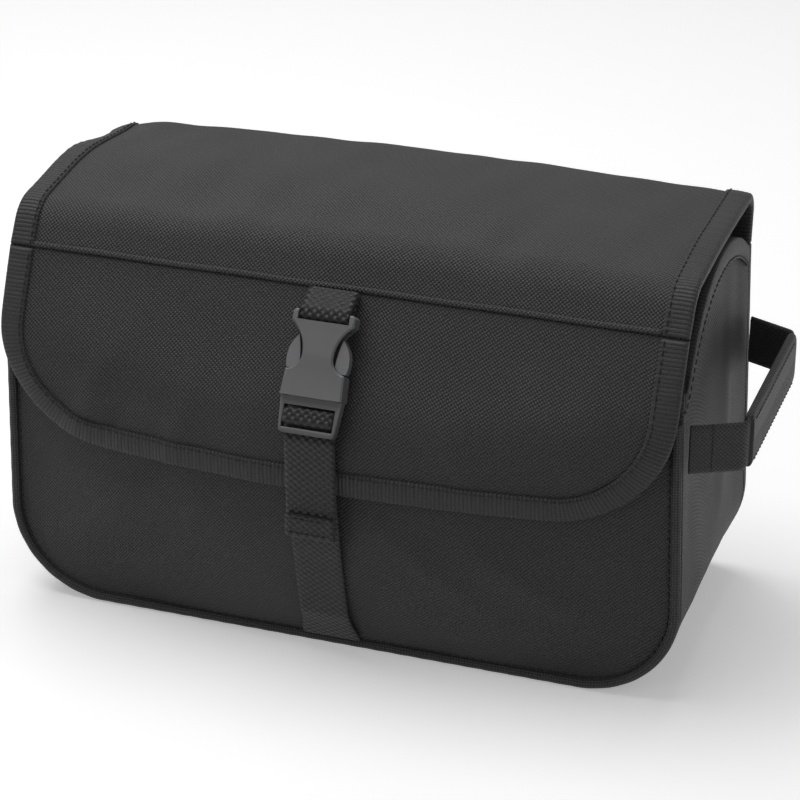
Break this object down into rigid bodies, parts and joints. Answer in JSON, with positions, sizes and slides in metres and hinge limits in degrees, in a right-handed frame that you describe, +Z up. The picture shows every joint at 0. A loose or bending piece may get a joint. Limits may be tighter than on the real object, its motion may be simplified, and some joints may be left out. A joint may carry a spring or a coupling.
{
  "type": "toiletry bag",
  "caption": "Flap-over toiletry bag: boxy fabric body with piped seams, a full-width flap held by a webbing strap with a side-release buckle, and a carrying handle on one end.",
  "frame": {"origin": "on the surface the bag stands on, under the middle of its body", "axes": "+X along the bag towards its handle, +Y towards its back, +Z up; the buckle is on the -Y face"},
  "size_m": [0.3012, 0.1442, 0.1754],
  "materials": {
    "shell_fabric": "charcoal woven polyester with a fine diagonal weave and a low sheen",
    "lining_fabric": "thin dark plain-woven lining",
    "binding_tape": "ribbed grosgrain tape",
    "piping": "cord covered in bias-cut cloth",
    "webbing": "flat woven webbing with rows of raised picks",
    "handle_fabric": "folded and stitched shell cloth",
    "buckle_plastic": "satin moulded acetal with softly lit edges"
  },
  "bodies": {
    "bag": {"front_panel": "shell_fabric", "back_panel": "shell_fabric", "gusset": "shell_fabric", "lining": "lining_fabric", "mouth_binding": "binding_tape", "front_piping": "piping", "back_piping": "piping"},
    "flap_top": {"flap_top_panel": "shell_fabric", "flap_top_lining": "lining_fabric", "flap_top_binding_left": "binding_tape", "flap_top_binding_right": "binding_tape"},
    "flap_front": {"flap_front_panel": "shell_fabric", "flap_front_lining": "lining_fabric", "flap_front_binding": "binding_tape", "upper_webbing": "webbing", "buckle_socket": "buckle_plastic"},
    "strap": {"lower_webbing": "webbing", "buckle_plug": "buckle_plastic"},
    "latch_left": {"latch_left": "buckle_plastic"},
    "latch_right": {"latch_right": "buckle_plastic"},
    "handle": {"handle_strap": "handle_fabric", "handle_grip": "handle_fabric", "handle_end_front": "handle_fabric", "handle_end_rear": "handle_fabric"}
  },
  "joints": [
    {"name": "flap_open", "type": "hinge", "parent": "bag", "child": "flap_top", "pos_m": [0, 0.0574, 0.15], "axis": [-1, 0, 0], "range_deg": [0, 140]},
    {"name": "flap_fold", "type": "hinge", "parent": "flap_top", "child": "flap_front", "pos_m": [0, -0.0471, 0.1507], "axis": [1, 0, 0], "range_deg": [0, 46.2]},
    {"name": "strap_swing", "type": "hinge", "parent": "bag", "child": "strap", "pos_m": [0, -0.0597, 0.0046], "axis": [1, 0, 0], "range_deg": [0, 70]},
    {"name": "latch_left_press", "type": "hinge", "parent": "strap", "child": "latch_left", "pos_m": [-0.00895, -0.0756, 0.121], "axis": [0, -0.8572, 0.515], "range_deg": [-10, 0], "stiffness_Nm_per_rad": 0.01},
    {"name": "latch_right_press", "type": "hinge", "parent": "strap", "child": "latch_right", "pos_m": [0.00895, -0.0756, 0.121], "axis": [0, -0.8572, 0.515], "range_deg": [0, 10], "stiffness_Nm_per_rad": 0.01},
    {"name": "handle_swing", "type": "hinge", "parent": "bag", "child": "handle", "pos_m": [0.1396, 0.0005, 0.108], "axis": [0, 1, 0], "range_deg": [-30, 30], "deforming": ["handle_end_front", "handle_end_rear"]}
  ],
  "couplings": [
    {"joint": "strap_swing", "follows": "flap_open", "ratio": 0.5},
    {"joint": "flap_fold", "follows": "flap_open", "ratio": 0.33}
  ]
}
